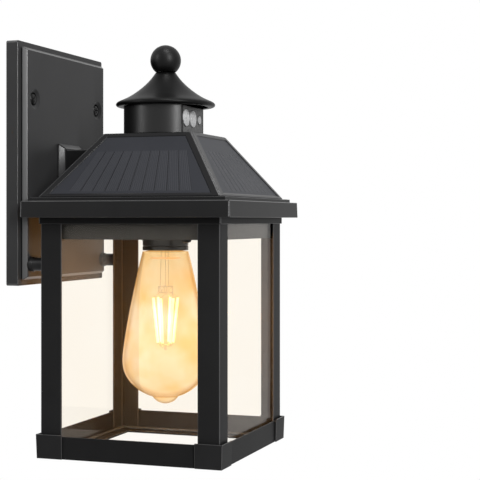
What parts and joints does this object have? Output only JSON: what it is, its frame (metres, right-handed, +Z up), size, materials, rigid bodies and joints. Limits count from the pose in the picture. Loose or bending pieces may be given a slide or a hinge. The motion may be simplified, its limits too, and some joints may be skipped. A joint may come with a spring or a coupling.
{
  "type": "outdoor wall lantern",
  "caption": "Square black wall lantern with a pitched roof, round motion-sensor head, clear panes, open bottom and a long pear-shaped bulb on a stepped back plate.",
  "frame": {"origin": "on the wall plane, behind the middle of the back plate", "axes": "+Z up, +Y into the wall, -Y out into the room or yard, +X to the right as seen from the front"},
  "size_m": [0.1578, 0.1737, 0.2991],
  "materials": {
    "black_paint": "satin black powder coat",
    "black_screw": "black oxide",
    "zinc_steel": "zinc plated",
    "earth_brass": "green-tinted brass",
    "brass": "bright",
    "foam": "closed-cell foam",
    "clear_glass": "clear",
    "amber_glass": "amber tint",
    "stem_glass": "clear",
    "filament": "phosphor coated",
    "sealant": "matt",
    "holder_plastic": "moulded phenolic",
    "window_plastic": "satin moulded",
    "lens_plastic": "translucent, fine rings",
    "circuit_board": "solder mask"
  },
  "bodies": {
    "lantern": {"back_plate": "black_paint", "wall_gasket": "foam", "wall_bracket": "zinc_steel", "earth_screw": "earth_brass", "wall_screw_left": "black_screw", "wall_screw_right": "black_screw", "arm": "black_paint", "arm_root_screw_lower": "zinc_steel", "arm_root_screw_upper": "zinc_steel", "arm_roof_screw_lower": "zinc_steel", "arm_roof_screw_upper": "zinc_steel", "spacer_left": "black_paint", "spacer_right": "black_paint", "spacer_screw_left": "zinc_steel", "spacer_screw_right": "zinc_steel", "post_front_left": "black_paint", "post_front_right": "black_paint", "post_rear_left": "black_paint", "post_rear_right": "black_paint", "corner_cap_front_left": "black_paint", "corner_cap_front_right": "black_paint", "corner_cap_rear_left": "black_paint", "corner_cap_rear_right": "black_paint", "bottom_frame": "black_paint", "top_frame": "black_paint", "pane_front": "clear_glass", "pane_rear": "clear_glass", "pane_left": "clear_glass", "pane_right": "clear_glass", "glazing_bead": "sealant", "eave": "black_paint", "roof": "black_paint", "clamp_screw_front_left": "zinc_steel", "clamp_screw_front_right": "zinc_steel", "clamp_screw_rear_left": "zinc_steel", "clamp_screw_rear_right": "zinc_steel", "bridge": "zinc_steel", "tray": "black_paint", "tray_screw_left": "zinc_steel", "tray_screw_right": "zinc_steel", "lampholder": "holder_plastic", "holder_shell": "brass", "holder_contact": "brass", "nipple": "brass", "nipple_nut": "brass", "sensor_head": "black_paint", "sensor_window": "window_plastic", "lens_a": "lens_plastic", "lens_b": "lens_plastic", "light_sensor_lens": "lens_plastic", "sensor_board": "circuit_board", "cone_cap": "black_paint", "centre_rod": "zinc_steel", "rod_nut": "zinc_steel"},
    "bulb": {"bulb_cap": "brass", "bulb_tip": "brass", "bulb_glass": "amber_glass", "bulb_stem": "stem_glass", "bulb_filaments": "filament"},
    "finial": {"finial": "black_paint"}
  },
  "joints": [
    {"name": "bulb_turn", "type": "hinge", "parent": "lantern", "child": "bulb", "pos_m": [0, -0.0948, -0.06], "axis": [0, 0, -1], "range_deg": [0, 900]},
    {"name": "finial_turn", "type": "hinge", "parent": "lantern", "child": "finial", "pos_m": [0, -0.0948, 0.078], "axis": [0, 0, 1], "continuous": true}
  ]
}
